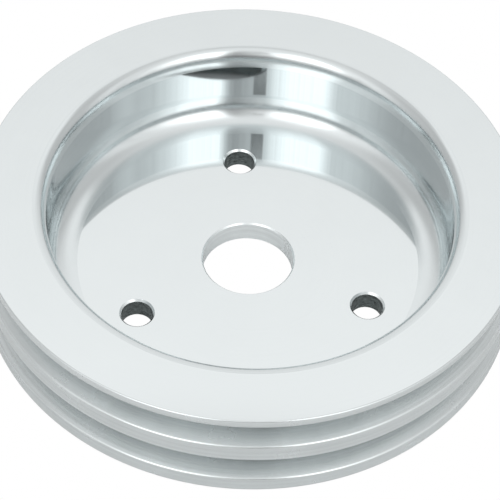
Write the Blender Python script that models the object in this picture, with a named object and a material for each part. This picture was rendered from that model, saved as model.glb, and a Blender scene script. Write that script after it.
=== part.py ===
"""Two-groove V-belt crank pulley, machined from one aluminium billet.

Metres, +Z up. The pulley lies on its rear mounting face with the dish open upwards.
The origin is the centre of that rear face, and +Z is the axis of rotation.
"""

from math import cos, degrees, radians, sin, tan

import bpy

MM = 0.001

# Rim and web
OUTER_R = 84.0 * MM
HEIGHT = 35.6 * MM
WEB_THICKNESS = 7.4 * MM
WALL_R = 62.9 * MM  # the dish's cylindrical wall
LIP = (4.1 * MM, 6.2 * MM)  # the blend from the rim's front face into the wall, across and down
FILLET = (9.0 * MM, 8.0 * MM)  # the hollow blend from the wall to the dish's floor, across and up
BLEND_POWER = 2.5  # of both blends: 2 is an ellipse, more is flatter near the ends
EDGE_R = 0.8 * MM  # round on the corners of the groove mouths
FRONT_EDGE_R = 0.5 * MM  # the finer break at the rim's front edge
REAR_EDGE_R = 2.8 * MM

# Belt grooves
FIRST_GROOVE_DEPTH = 7.8 * MM  # from the front face to the first groove's middle
GROOVE_PITCH = 16.0 * MM
GROOVE_COUNT = 2
MOUTH_WIDTH = 9.8 * MM
GROOVE_DEPTH = 11.2 * MM
FLANK_ANGLE = radians(18)  # half of a 36 degree V
ROOT_R = 0.9 * MM

# Pilot bore and bolt holes
BORE_R = 14.3 * MM
BORE_CHAMFER = 0.45 * MM
BORE_REAR_CHAMFER = 0.2 * MM
BOLT_CIRCLE_R = 41.4 * MM
BOLT_HOLE_R = 4.9 * MM
BOLT_HOLE_CHAMFER = 0.6 * MM
BOLT_HOLE_REAR_CHAMFER = 0.5 * MM
BOLT_COUNT = 3
FIRST_BOLT_ANGLE = radians(90)

# Facets
TURNED_STEPS = 72
HOLE_STEPS = 32
BLEND_STEPS = 6
CORNER_STEPS = 2
REAR_EDGE_STEPS = 4


def clear_scene():
    for obj in list(bpy.data.objects):
        bpy.data.objects.remove(obj, do_unlink=True)


def arc(centre, radius, start, end, steps):
    """Points (r, z) on an arc, angles in degrees from the outward direction."""
    turns = [radians(start + (end - start) * i / steps) for i in range(steps + 1)]
    return [(centre[0] + radius * cos(a), centre[1] + radius * sin(a)) for a in turns]


def blend(corner, across, along, start, end):
    """Points (r, z) on a superellipse that rounds the corner off. Either half axis may be negative."""
    centre = (corner[0] - across, corner[1] - along)
    points = []
    for i in range(BLEND_STEPS + 1):
        a = radians(start + (end - start) * i / BLEND_STEPS)
        r = centre[0] + across * abs(cos(a)) ** (2 / BLEND_POWER)
        points.append((r, centre[1] + along * abs(sin(a)) ** (2 / BLEND_POWER)))
    return points


def groove(middle):
    """The outline of one groove, from its upper corner in to the root and out again."""
    half_mouth = MOUTH_WIDTH / 2
    flank = 90 - degrees(FLANK_ANGLE)
    # A round tangent to the land and the flank has its centre this far from the sharp corner.
    setback = EDGE_R * tan(radians(flank) / 2)
    corner_r = OUTER_R - EDGE_R
    upper = (corner_r, middle + half_mouth + setback)
    lower = (corner_r, middle - half_mouth - setback)
    root_half = half_mouth - GROOVE_DEPTH * tan(FLANK_ANGLE)
    root_setback = ROOT_R * tan(radians(flank) / 2)
    root_centre_r = OUTER_R - GROOVE_DEPTH + ROOT_R
    top_root = (root_centre_r, middle + root_half - root_setback)
    bottom_root = (root_centre_r, middle - root_half + root_setback)
    points = arc(upper, EDGE_R, 0, -flank, CORNER_STEPS)
    points += arc(top_root, ROOT_R, 180 - flank, 180, CORNER_STEPS)
    points += arc(bottom_root, ROOT_R, 180, 180 + flank, CORNER_STEPS)
    points += arc(lower, EDGE_R, flank, 0, CORNER_STEPS)
    return points


def pulley_outline():
    """The closed section (r, z) of the pulley: down the outside, across the rear, up the inside."""
    front = (OUTER_R - FRONT_EDGE_R, HEIGHT - FRONT_EDGE_R)
    points = arc(front, FRONT_EDGE_R, 90, 0, CORNER_STEPS)
    for index in range(GROOVE_COUNT):
        points += groove(HEIGHT - FIRST_GROOVE_DEPTH - index * GROOVE_PITCH)
    points += arc((OUTER_R - REAR_EDGE_R, REAR_EDGE_R), REAR_EDGE_R, 0, -90, REAR_EDGE_STEPS)
    points += [(BORE_R + BORE_REAR_CHAMFER, 0), (BORE_R, BORE_REAR_CHAMFER)]
    floor = WEB_THICKNESS
    points += [(BORE_R, floor - BORE_CHAMFER), (BORE_R + BORE_CHAMFER, floor)]
    points += blend((WALL_R, floor), FILLET[0], -FILLET[1], 90, 0)
    points += blend((WALL_R, HEIGHT), -LIP[0], LIP[1], 0, 90)
    return points


def bolt_hole_outline():
    """A cutter (r, z) with a cone at each face of the web, run down its outside."""
    floor = WEB_THICKNESS
    front, rear = BOLT_HOLE_CHAMFER, BOLT_HOLE_REAR_CHAMFER
    return [
        (0, floor + front),
        (BOLT_HOLE_R + 2 * front, floor + front),
        (BOLT_HOLE_R, floor - front),
        (BOLT_HOLE_R, rear),
        (BOLT_HOLE_R + 2 * rear, -rear),
        (0, -rear),
    ]


def turned(name, outline, steps, closed):
    """An object whose Screw modifier turns the outline about Z."""
    count = len(outline)
    edges = [(i, i + 1) for i in range(count - 1)]
    if closed:
        edges.append((count - 1, 0))
    mesh = bpy.data.meshes.new(name)
    mesh.from_pydata([(r, 0, z) for r, z in outline], edges, [])
    obj = bpy.data.objects.new(name, mesh)
    bpy.context.scene.collection.objects.link(obj)
    screw = obj.modifiers.new("turn", "SCREW")
    screw.axis = "Z"
    screw.angle = radians(360)
    screw.steps = steps
    screw.render_steps = steps
    screw.use_merge_vertices = True
    screw.merge_threshold = 0.00001
    screw.use_smooth_shade = False
    return obj


def polished_aluminium():
    material = bpy.data.materials.new("polished_aluminium")
    material.use_nodes = True
    surface = material.node_tree.nodes["Principled BSDF"]
    surface.inputs["Base Color"].default_value = (0.86, 0.88, 0.88, 1)
    surface.inputs["Metallic"].default_value = 1
    surface.inputs["Roughness"].default_value = 0.06
    return material


def bolt_hole_cutter(index):
    cutter = turned(f"bolt_hole_cutter_{index + 1}", bolt_hole_outline(), HOLE_STEPS, False)
    angle = FIRST_BOLT_ANGLE + index * radians(360) / BOLT_COUNT
    cutter.location = (BOLT_CIRCLE_R * cos(angle), BOLT_CIRCLE_R * sin(angle), 0)
    cutter.hide_render = True
    cutter.display_type = "WIRE"
    return cutter


def crank_pulley():
    pulley = turned("crank_pulley", pulley_outline(), TURNED_STEPS, True)
    pulley.data.materials.append(polished_aluminium())
    for index in range(BOLT_COUNT):
        cut = pulley.modifiers.new(f"bolt_hole_{index + 1}", "BOOLEAN")
        cut.operation = "DIFFERENCE"
        cut.solver = "EXACT"
        cut.object = bolt_hole_cutter(index)
    return pulley


clear_scene()
crank_pulley()
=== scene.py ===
"""A polished two-groove V-belt crank pulley, lying on a plain white floor in a soft studio.

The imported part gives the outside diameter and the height. The turned section is drawn again here with fine
arcs, because a mirror polish shows every facet.
"""

from math import cos, degrees, pi, radians, sin, tan

import bpy
from mathutils import Matrix, Vector


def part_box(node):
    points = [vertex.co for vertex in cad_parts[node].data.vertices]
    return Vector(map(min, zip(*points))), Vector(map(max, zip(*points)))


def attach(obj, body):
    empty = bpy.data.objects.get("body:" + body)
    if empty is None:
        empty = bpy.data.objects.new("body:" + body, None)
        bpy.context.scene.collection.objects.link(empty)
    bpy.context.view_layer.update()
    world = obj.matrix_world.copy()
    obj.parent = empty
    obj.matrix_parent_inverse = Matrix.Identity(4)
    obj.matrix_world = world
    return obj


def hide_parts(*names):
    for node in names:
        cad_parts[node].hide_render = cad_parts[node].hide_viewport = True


MM = 0.001
NODE = "crank_pulley"

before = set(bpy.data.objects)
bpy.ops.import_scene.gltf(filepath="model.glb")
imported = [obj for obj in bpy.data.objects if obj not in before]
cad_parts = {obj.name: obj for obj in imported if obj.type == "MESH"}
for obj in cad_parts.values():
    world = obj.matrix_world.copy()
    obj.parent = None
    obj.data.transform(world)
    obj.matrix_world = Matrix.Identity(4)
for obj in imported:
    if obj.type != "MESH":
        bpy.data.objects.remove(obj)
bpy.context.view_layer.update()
node_low, node_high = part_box(NODE)
OUTER_R = node_high[0]
HEIGHT = node_high[2]

# Rim and web, as in the part's source
WEB_THICKNESS = 7.4 * MM
WALL_R = 62.9 * MM  # the dish's cylindrical wall
LIP = (4.1 * MM, 6.2 * MM)  # the blend from the rim's front face into the wall, across and down
FILLET = (9.0 * MM, 8.0 * MM)  # the hollow blend from the wall to the dish's floor, across and up
BLEND_POWER = 2.5  # of both blends: 2 is an ellipse, more is flatter near the ends
EDGE_R = 0.8 * MM  # round on the corners of the groove mouths
FRONT_EDGE_R = 0.5 * MM
REAR_EDGE_R = 2.8 * MM

# Belt grooves
FIRST_GROOVE_DEPTH = 7.8 * MM  # from the front face to the first groove's middle
GROOVE_PITCH = 16.0 * MM
GROOVE_COUNT = 2
MOUTH_WIDTH = 9.8 * MM
GROOVE_DEPTH = 11.2 * MM
FLANK_ANGLE = 18  # half of a 36 degree V
ROOT_R = 0.9 * MM

# Pilot bore and bolt holes
BORE_R = 14.3 * MM
BORE_CHAMFER = 0.45 * MM
BORE_REAR_CHAMFER = 0.2 * MM
BOLT_CIRCLE_R = 41.4 * MM
BOLT_HOLE_R = 4.9 * MM
BOLT_HOLE_CHAMFER = 0.6 * MM
BOLT_HOLE_REAR_CHAMFER = 0.5 * MM
BOLT_COUNT = 3
FIRST_BOLT_ANGLE = 90

# Facets
TURNED_STEPS = 360
HOLE_STEPS = 96
BLEND_STEPS = 32
CORNER_STEPS = 8
SMOOTH_ANGLE = 30  # degrees: sharper edges stay sharp

# Camera: a long lens, looking down into the dish
CAMERA_PLACE = Vector((-48.2, -443.5, 539.8)) * MM
CAMERA_TARGET = Vector((-0.14, -5.47, 17.8)) * MM
CAMERA_ROLL = 3.09  # degrees
LENS = 158.1
SENSOR = 36

# Finishes, by their place in the list of materials
POLISHED, WALLED, DISHED, TURNED, BORED, DRILLED = range(6)

NOISE_SPAN = (0.3, 0.7)  # nearly all of a noise texture's values lie in it
NOISE_ROUGHNESS = 0.6
LINE_DETAIL = 3.0
LINE_WANDER = 0.35  # how much a turned line changes on its way round, in noise units a radian
CLOUD_DETAIL = 4.0
CLOUD_SIZE = 18 * MM
ROUGH_HAZE = 0.18  # how much the clouds change the roughness
GROOVE_SHADE_REACH = 9.5 * MM  # how far the painted shade in a groove reaches, out from its root
QUARTER_TURN = 0.25  # turns an anisotropic reflection from along the lines to across them
DRILL_SMEAR = 1.6 * MM  # length of a mark round the hole
DRILL_PITCH = 0.7 * MM  # spacing of the marks along the hole
DRILL_DEPTH = 0.02 * MM
DRILL_DETAIL = 4.0
DRILL_TONES = (0.45, 1.6)
DRILL_ROUGHNESS = (0.8, 1.2)  # as shares of the finish's own

# Floor
FLOOR_REACH = 4
FLOOR_DROP = 0.5 * MM  # below the part, so that the two faces don't fight
FLOOR_TONE = 0.8


# Section ------------------------------------------------------------------------------------------------


def arc(centre, radius, start, end, steps):
    """Points (r, z) on an arc, angles in degrees from the outward direction."""
    turns = [radians(start + (end - start) * i / steps) for i in range(steps + 1)]
    return [(centre[0] + radius * cos(a), centre[1] + radius * sin(a)) for a in turns]


def blend(corner, across, along, start, end):
    """Points (r, z) on a superellipse that rounds the corner off. Either half axis may be negative."""
    centre = (corner[0] - across, corner[1] - along)
    points = []
    for i in range(BLEND_STEPS + 1):
        a = radians(start + (end - start) * i / BLEND_STEPS)
        r = centre[0] + across * abs(cos(a)) ** (2 / BLEND_POWER)
        points.append((r, centre[1] + along * abs(sin(a)) ** (2 / BLEND_POWER)))
    return points


def groove(middle):
    """The outline of one groove, from its upper corner in to the root and out again."""
    half_mouth = MOUTH_WIDTH / 2
    flank = 90 - FLANK_ANGLE
    # A round tangent to the land and the flank has its centre this far from the sharp corner.
    setback = EDGE_R * tan(radians(flank) / 2)
    root_half = half_mouth - GROOVE_DEPTH * tan(radians(FLANK_ANGLE))
    root_setback = ROOT_R * tan(radians(flank) / 2)
    corner_r = OUTER_R - EDGE_R
    root_r = OUTER_R - GROOVE_DEPTH + ROOT_R
    rounds = (
        (corner_r, half_mouth + setback, EDGE_R, 0, -flank),
        (root_r, root_half - root_setback, ROOT_R, 180 - flank, 180),
        (root_r, root_setback - root_half, ROOT_R, 180, 180 + flank),
        (corner_r, -half_mouth - setback, EDGE_R, flank, 0),
    )
    points = []
    for r, z, radius, start, end in rounds:
        points += arc((r, middle + z), radius, start, end, CORNER_STEPS)
    return points


def pulley_section():
    """The closed section as (r, z, finish of the surface that runs on from this point)."""
    section = []

    def add(points, *finishes):
        """Adds the points with the first finish. What runs on from the last point gets the last finish."""
        section.extend((r, z, finishes[0]) for r, z in points[:-1])
        section.append((*points[-1], finishes[-1]))

    front = (OUTER_R - FRONT_EDGE_R, HEIGHT - FRONT_EDGE_R)
    add(arc(front, FRONT_EDGE_R, 90, 0, CORNER_STEPS), TURNED)
    for index in range(GROOVE_COUNT):
        add(groove(HEIGHT - FIRST_GROOVE_DEPTH - index * GROOVE_PITCH), TURNED)
    add(arc((OUTER_R - REAR_EDGE_R, REAR_EDGE_R), REAR_EDGE_R, 0, -90, CORNER_STEPS), TURNED)
    floor = WEB_THICKNESS
    add([(BORE_R + BORE_REAR_CHAMFER, 0), (BORE_R, BORE_REAR_CHAMFER)], BORED)
    add([(BORE_R, floor - BORE_CHAMFER)], BORED)
    add([(BORE_R + BORE_CHAMFER, floor)], POLISHED)
    add(blend((WALL_R, floor), FILLET[0], -FILLET[1], 90, 0), DISHED, WALLED)
    add(blend((WALL_R, HEIGHT), -LIP[0], LIP[1], 0, 90), DISHED, POLISHED)
    return section


def bolt_hole_section():
    """A cutter with a cone at each face of the web, from its top centre down its outside."""
    floor = WEB_THICKNESS
    front, rear = BOLT_HOLE_CHAMFER, BOLT_HOLE_REAR_CHAMFER
    points = (
        (BOLT_HOLE_R + 2 * front, floor + front),
        (BOLT_HOLE_R, floor - front),
        (BOLT_HOLE_R, rear),
        (BOLT_HOLE_R + 2 * rear, -rear),
    )
    return [(r, z, finish) for (r, z), finish in zip(points, (BORED, DRILLED, BORED, BORED))]


# Mesh ---------------------------------------------------------------------------------------------------


def turned_mesh(name, section, steps, closed, centre=(0, 0)):
    """A mesh turned about Z through centre. An open section gets a flat drilled cap at each end."""
    count = len(section)
    points = []
    for step in range(steps):
        a = 2 * pi * step / steps
        points += [(centre[0] + r * cos(a), centre[1] + r * sin(a), z) for r, z, _ in section]
    faces, finishes = [], []
    for step in range(steps):
        here, there = step * count, (step + 1) % steps * count
        for i in range(count if closed else count - 1):
            j = (i + 1) % count
            faces.append((here + i, here + j, there + j, there + i))
            finishes.append(section[i][2])
    if not closed:
        faces.append([step * count for step in range(steps)])
        faces.append([step * count + count - 1 for step in reversed(range(steps))])
        finishes += [DRILLED, DRILLED]
    mesh = bpy.data.meshes.new(name)
    mesh.from_pydata(points, [], faces)
    mesh.polygons.foreach_set("material_index", finishes)
    return mesh


def linked(name, data):
    """An object in the scene that shows the mesh or camera."""
    obj = bpy.data.objects.new(name, data)
    bpy.context.scene.collection.objects.link(obj)
    return obj


def cut_bolt_holes(body, materials):
    for index in range(BOLT_COUNT):
        a = radians(FIRST_BOLT_ANGLE + index * 360 / BOLT_COUNT)
        centre = (BOLT_CIRCLE_R * cos(a), BOLT_CIRCLE_R * sin(a))
        mesh = turned_mesh("bolt_hole_cutter", bolt_hole_section(), HOLE_STEPS, False, centre)
        for material in materials:
            mesh.materials.append(material)
        cutter = linked("bolt_hole_cutter", mesh)
        cut = body.modifiers.new("bolt_hole", "BOOLEAN")
        cut.operation = "DIFFERENCE"
        cut.solver = "EXACT"
        cut.object = cutter
        bpy.context.view_layer.objects.active = body
        with bpy.context.temp_override(object=body, active_object=body):
            bpy.ops.object.modifier_apply(modifier=cut.name)
        bpy.data.objects.remove(cutter, do_unlink=True)


def pulley(materials):
    mesh = turned_mesh("pulley_turned", pulley_section(), TURNED_STEPS, True)
    for material in materials:
        mesh.materials.append(material)
    body = linked("pulley_turned", mesh)
    cut_bolt_holes(body, materials)
    body.data.shade_smooth()
    body.data.set_sharp_from_angle(angle=radians(SMOOTH_ANGLE))
    weighted = body.modifiers.new("true_normals", "WEIGHTED_NORMAL")
    weighted.mode = "FACE_AREA"
    weighted.weight = 100
    weighted.keep_sharp = True
    return body


# Materials ----------------------------------------------------------------------------------------------


def nodes_of(tree):
    """Empties the tree, and returns a function that adds a node to it. An input is a value or a socket."""
    tree.nodes.clear()

    def add(kind, inputs=(), **settings):
        node = tree.nodes.new(kind)
        for key, value in settings.items():
            setattr(node, key, value)
        for key, value in dict(inputs).items():
            if isinstance(value, bpy.types.NodeSocket):
                tree.links.new(value, node.inputs[key])
            else:
                node.inputs[key].default_value = value
        return node

    return add


def turned_place(add):
    """(distance from the axis, bearing round it, height) of the shaded point."""
    place = add("ShaderNodeSeparateXYZ", {0: add("ShaderNodeTexCoord").outputs["Object"]})
    flat = add("ShaderNodeCombineXYZ", {0: place.outputs["X"], 1: place.outputs["Y"]})
    distance = add("ShaderNodeVectorMath", {0: flat.outputs[0]}, operation="LENGTH")
    bearing = add("ShaderNodeMath", {0: place.outputs["Y"], 1: place.outputs["X"]}, operation="ARCTAN2")
    return distance.outputs["Value"], bearing.outputs[0], place.outputs["Z"]


def scaled(add, value, factor):
    return add("ShaderNodeMath", {0: value, 1: factor}, operation="MULTIPLY").outputs[0]


def noise(add, vector, detail):
    settings = {"Vector": vector, "Scale": 1.0, "Detail": detail, "Roughness": NOISE_ROUGHNESS}
    return add("ShaderNodeTexNoise", settings).outputs[0]


def spread(add, value, low, high):
    """A noise value spread over low to high."""
    start, end = NOISE_SPAN
    return add("ShaderNodeMapRange", {0: value, 1: start, 2: end, 3: low, 4: high}).outputs[0]


def turned_metal(name, colour, roughness, anisotropy, line_depth, line_pitch, line_tone, haze, root_shade=1.0):
    """Aluminium cut on a lathe: fine lines round the axis, which stretch a reflection across them.

    line_depth is the depth of the lines, line_pitch their spacing, line_tone how much they change the tone,
    haze how much the finish varies from place to place, and the last argument the tone of the painted shade
    at the bottom of the grooves.
    """
    material = bpy.data.materials.new(name)
    material.use_nodes = True
    add = nodes_of(material.node_tree)
    distance, bearing, height = turned_place(add)
    scales = enumerate(((distance, 1 / line_pitch), (bearing, LINE_WANDER), (height, 1 / line_pitch)))
    lines_at = {i: scaled(add, value, scale) for i, (value, scale) in scales}
    lines = noise(add, add("ShaderNodeCombineXYZ", lines_at).outputs[0], LINE_DETAIL)
    place = add("ShaderNodeTexCoord").outputs["Object"]
    clouds_at = add("ShaderNodeVectorMath", {0: place, 3: 1 / CLOUD_SIZE}, operation="SCALE")
    clouds = noise(add, clouds_at.outputs[0], CLOUD_DETAIL)
    lined = spread(add, lines, 1 - line_tone, 1 + line_tone)
    tone = scaled(add, lined, spread(add, clouds, 1 - haze, 1 + haze))
    # Painted shade: the tone darkens towards the root of each groove and fades out towards the lands.
    root = OUTER_R - GROOVE_DEPTH
    groove_shade = add("ShaderNodeMapRange", {0: distance, 1: root, 2: root + GROOVE_SHADE_REACH, 3: root_shade, 4: 1.0})
    shade = scaled(add, tone, groove_shade.outputs[0])
    tint = add("ShaderNodeVectorMath", {0: colour, 3: shade}, operation="SCALE")
    rough = scaled(add, spread(add, clouds, 1 - ROUGH_HAZE, 1 + ROUGH_HAZE), roughness)
    bump = add("ShaderNodeBump", {"Strength": 1.0, "Distance": line_depth, "Height": lines})
    along = add("ShaderNodeTangent", direction_type="RADIAL", axis="Z")
    surface = add(
        "ShaderNodeBsdfPrincipled",
        {"Base Color": tint.outputs[0], "Metallic": 1.0, "Roughness": rough, "Anisotropic": anisotropy,
         "Anisotropic Rotation": QUARTER_TURN, "Normal": bump.outputs[0], "Tangent": along.outputs[0]},
    )
    add("ShaderNodeOutputMaterial", {0: surface.outputs[0]})
    return material


def drilled_metal(name, colour, roughness):
    """The inside of a drilled hole, with uneven marks round its own axis, in a colour darkened with painted
    shade.
    """
    material = bpy.data.materials.new(name)
    material.use_nodes = True
    add = nodes_of(material.node_tree)
    place = add("ShaderNodeSeparateXYZ", {0: add("ShaderNodeTexCoord").outputs["Object"]})
    sizes = zip("XYZ", (DRILL_SMEAR, DRILL_SMEAR, DRILL_PITCH))
    marks_at = {i: scaled(add, place.outputs[axis], 1 / size) for i, (axis, size) in enumerate(sizes)}
    marks = noise(add, add("ShaderNodeCombineXYZ", marks_at).outputs[0], DRILL_DETAIL)
    tint = add("ShaderNodeVectorMath", {0: colour, 3: spread(add, marks, *DRILL_TONES)}, operation="SCALE")
    rough = scaled(add, spread(add, marks, *DRILL_ROUGHNESS), roughness)
    bump = add("ShaderNodeBump", {"Strength": 1.0, "Distance": DRILL_DEPTH, "Height": marks})
    surface = add(
        "ShaderNodeBsdfPrincipled",
        {"Base Color": tint.outputs[0], "Metallic": 1.0, "Roughness": rough, "Normal": bump.outputs[0]},
    )
    add("ShaderNodeOutputMaterial", {0: surface.outputs[0]})
    return material


# Stage --------------------------------------------------------------------------------------------------


def camera():
    data = bpy.data.cameras.new("camera")
    data.lens = LENS
    data.sensor_width = SENSOR
    obj = linked("camera", data)
    look = (CAMERA_TARGET - CAMERA_PLACE).to_track_quat("-Z", "Y").to_matrix().to_4x4()
    roll = Matrix.Rotation(radians(CAMERA_ROLL), 4, "Z")
    obj.matrix_world = Matrix.Translation(CAMERA_PLACE) @ look @ roll
    bpy.context.scene.camera = obj


# Studio light, by direction: degrees from straight behind the part, positive to the camera's right, and how
# bright the walls of the studio are there. The two strong stretches are the panels either side of the camera.
# A colour ramp holds 32 places at most.
WALLS = (
    (-180, 0.82), (-176, 0.88), (-174, 1.1), (-171, 1.5), (-161, 2.1), (-141, 2.0), (-137, 1.4), (-133, 1.08),
    (-122, 1.05), (-106, 0.79), (-96, 0.68), (-88, 0.63), (-70, 0.6), (-52, 0.62), (-38, 0.84), (-22, 0.97),
    (22, 0.97), (38, 0.84), (52, 0.62), (74, 0.64), (88, 0.68), (94, 0.83), (102, 0.93), (110, 0.87),
    (120, 1.0), (128, 1.2), (136, 1.6), (142, 2.0), (159, 2.0), (164, 0.7), (168, 0.48), (180, 0.82),
)
# How the walls' light changes with elevation: behind the part, where the ceiling's edge shows as a duller
# band, at its sides, and on the camera's side
FAR_BAND = (
    (0, 0.4), (4, 0.6), (8, 0.85), (16, 0.94), (42, 0.95),
    (54, 1.1), (57, 0.68), (68, 0.74), (76, 0.9), (90, 1.0),
)
SIDE_BAND = ((0, 0.75), (10, 0.95), (31, 1.0), (90, 1.0))
NEAR_BAND = ((0, 0.3), (10, 0.36), (17, 0.65), (25, 0.95), (32, 1.0), (90, 1.0))
FAR_REACH = (25, 55)  # degrees to either side: from the far band to the side band
NEAR_REACH = (115, 150)  # from the side band to the near band
STREAKS = 0.12  # how much upright streaks change the walls' light outside the far band
STREAK_HEIGHT = 50  # degrees, to 1 degree of width
STREAK_DETAIL = 2.0
CEILING = 0.97
CEILING_LEAN = 8  # degrees, from straight up towards the camera
CEILING_EDGE = (45, 5)  # degrees from its middle where it fades out, and where it is full
# The camera's dark front, seen in the wall and again in the dish's floor: the bearing and elevation of its
# middle, half its size, and where its soft edges start and end as shares of that
LENS_SPOT = (-178.6, 46.3)
LENS_SPOT_SIZE = (3.6, 1.2)
LENS_SPOT_SIDES = (1.2, 0.8)
LENS_SPOT_ENDS = (1.06, 0.94)
LENS_SPOT_LEVEL = 0.0


def ramp_of(add, value, points, low, high):
    """The value, read against (place, level) points between low and high."""
    spot = add("ShaderNodeMapRange", {0: value, 1: low, 2: high, 3: 0.0, 4: 1.0})
    made = add("ShaderNodeValToRGB", {0: spot.outputs[0]})
    ramp = made.color_ramp
    while len(ramp.elements) < len(points):
        ramp.elements.new(0.5)
    for element, (place, level) in zip(ramp.elements, points):
        element.position = (place - low) / (high - low)
        element.color = (level, level, level, 1)
    return made.outputs[0]


def calc(add, operation, first, second=0.0):
    return add("ShaderNodeMath", {0: first, 1: second}, operation=operation).outputs[0]


def between(add, share, first, second):
    """first where share is 0, second where it is 1."""
    return add("ShaderNodeMix", {0: share, 2: first, 3: second}, data_type="FLOAT").outputs[0]


def smooth(add, value, start, end):
    """0 at start and 1 at end, eased at both."""
    settings = {0: value, 1: start, 2: end, 3: 0.0, 4: 1.0}
    return add("ShaderNodeMapRange", settings, interpolation_type="SMOOTHSTEP").outputs[0]


def walls_light(add, bearing, elevation):
    """How bright the studio's walls are in a direction."""
    walls = ramp_of(add, bearing, WALLS, -180, 180)
    far, side, near = (ramp_of(add, elevation, band, 0, 90) for band in (FAR_BAND, SIDE_BAND, NEAR_BAND))
    turn = calc(add, "ABSOLUTE", bearing)
    aside = smooth(add, turn, *FAR_REACH)
    band = between(add, smooth(add, turn, *NEAR_REACH), between(add, aside, far, side), near)
    streaks_at = add("ShaderNodeCombineXYZ", {0: bearing, 1: scaled(add, elevation, 1 / STREAK_HEIGHT)})
    streaks = noise(add, streaks_at.outputs[0], STREAK_DETAIL)
    streaked = between(add, aside, 1.0, spread(add, streaks, 1 - STREAKS, 1 + STREAKS))
    return scaled(add, scaled(add, walls, band), streaked)


def lens_spot(add, bearing, elevation):
    """1 on the camera's dark front, 0 elsewhere."""
    middle, height = LENS_SPOT
    past = calc(add, "SUBTRACT", bearing, middle)
    past = add("ShaderNodeMath", {0: past, 1: 180, 2: -180}, operation="WRAP").outputs[0]
    across = calc(add, "ABSOLUTE", past)
    up = calc(add, "ABSOLUTE", calc(add, "SUBTRACT", elevation, height))
    wide, tall = LENS_SPOT_SIZE
    within_sides = smooth(add, across, *(wide * share for share in LENS_SPOT_SIDES))
    within_ends = smooth(add, up, *(tall * share for share in LENS_SPOT_ENDS))
    return scaled(add, within_sides, within_ends)


def studio():
    """Light by direction: the walls, the camera's dark front and a bright ceiling. The camera sees white."""
    world = bpy.data.worlds.new("studio")
    world.use_nodes = True
    add = nodes_of(world.node_tree)
    away = CAMERA_TARGET - CAMERA_PLACE
    heading = -Vector((away.x, away.y)).angle_signed(Vector((0, 1)))
    here = add("ShaderNodeTexCoord").outputs["Generated"]
    turned = add("ShaderNodeVectorRotate", {"Vector": here, "Angle": heading}, rotation_type="Z_AXIS")
    parts = add("ShaderNodeSeparateXYZ", {0: turned.outputs[0]})
    bearing = scaled(add, calc(add, "ARCTAN2", parts.outputs["X"], parts.outputs["Y"]), degrees(1))
    elevation = scaled(add, calc(add, "ARCSINE", parts.outputs["Z"]), degrees(1))

    level = walls_light(add, bearing, elevation)
    level = between(add, lens_spot(add, bearing, elevation), level, LENS_SPOT_LEVEL)

    lean = radians(CEILING_LEAN)
    overhead = (0, -sin(lean), cos(lean))
    above = add("ShaderNodeVectorMath", {0: turned.outputs[0], 1: overhead}, operation="DOT_PRODUCT")
    angle = scaled(add, calc(add, "ARCCOSINE", above.outputs["Value"]), degrees(1))
    level = between(add, smooth(add, angle, *CEILING_EDGE), level, CEILING)
    level = between(add, add("ShaderNodeLightPath").outputs["Is Camera Ray"], level, 1.0)
    glow = add("ShaderNodeBackground", {0: level})
    add("ShaderNodeOutputWorld", {0: glow.outputs[0]})
    bpy.context.scene.world = world


def floor():
    """White to the camera, and pale and matt in reflections."""
    corners = [(x * FLOOR_REACH, y * FLOOR_REACH, 0) for x, y in ((-1, -1), (1, -1), (1, 1), (-1, 1))]
    mesh = bpy.data.meshes.new("floor")
    mesh.from_pydata(corners, [], [(0, 1, 2, 3)])
    obj = linked("floor", mesh)
    obj.location.z = -FLOOR_DROP
    material = bpy.data.materials.new("pale_floor")
    material.use_nodes = True
    add = nodes_of(material.node_tree)
    seen = add("ShaderNodeLightPath").outputs["Is Camera Ray"]
    matt = add("ShaderNodeBsdfDiffuse", {"Color": (FLOOR_TONE, FLOOR_TONE, FLOOR_TONE, 1)})
    white = add("ShaderNodeEmission", {"Strength": 1.0})
    both = add("ShaderNodeMixShader", {0: seen, 1: matt.outputs[0], 2: white.outputs[0]})
    add("ShaderNodeOutputMaterial", {0: both.outputs[0]})
    mesh.materials.append(material)


MIRROR_LINES = {"line_pitch": 0.35 * MM, "line_tone": 0.006, "haze": 0.008}
materials = [
    turned_metal(
        "polished_aluminium", colour=(0.762, 0.8, 0.806), roughness=0.045, anisotropy=0.9,
        line_depth=0.00005 * MM, **MIRROR_LINES,
    ),
    turned_metal(
        "dish_wall_aluminium", colour=(0.645, 0.69, 0.7), roughness=0.05, anisotropy=0.9,
        line_depth=0.00005 * MM, line_pitch=0.35 * MM, line_tone=0.01, haze=0.01,
    ),
    turned_metal(
        "dished_aluminium", colour=(0.74, 0.78, 0.787), roughness=0.15, anisotropy=0.95,
        line_depth=0.0001 * MM, **MIRROR_LINES,
    ),
    # Its grooves darken towards their roots with painted shade.
    turned_metal(
        "turned_aluminium", colour=(0.765, 0.806, 0.812), roughness=0.25, anisotropy=0.7,
        line_depth=0.0004 * MM, line_pitch=0.7 * MM, line_tone=0.07, haze=0.03, root_shade=0.5,
    ),
    # The bore's lighter colour is painted light, for the little light that reaches inside the bore.
    turned_metal(
        "bored_aluminium", colour=(0.86, 0.9, 0.905), roughness=0.3, anisotropy=0.6,
        line_depth=0.0005 * MM, line_pitch=0.6 * MM, line_tone=0.08, haze=0.04,
    ),
    # The hole walls' dark colour is painted shade, for the shade inside the holes.
    drilled_metal("shaded_drilled_aluminium", colour=(0.27, 0.305, 0.305), roughness=0.3),
]
body = pulley(materials)
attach(body, "root")
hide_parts(NODE)
camera()
studio()
floor()
bpy.context.scene.view_settings.view_transform = "Standard"
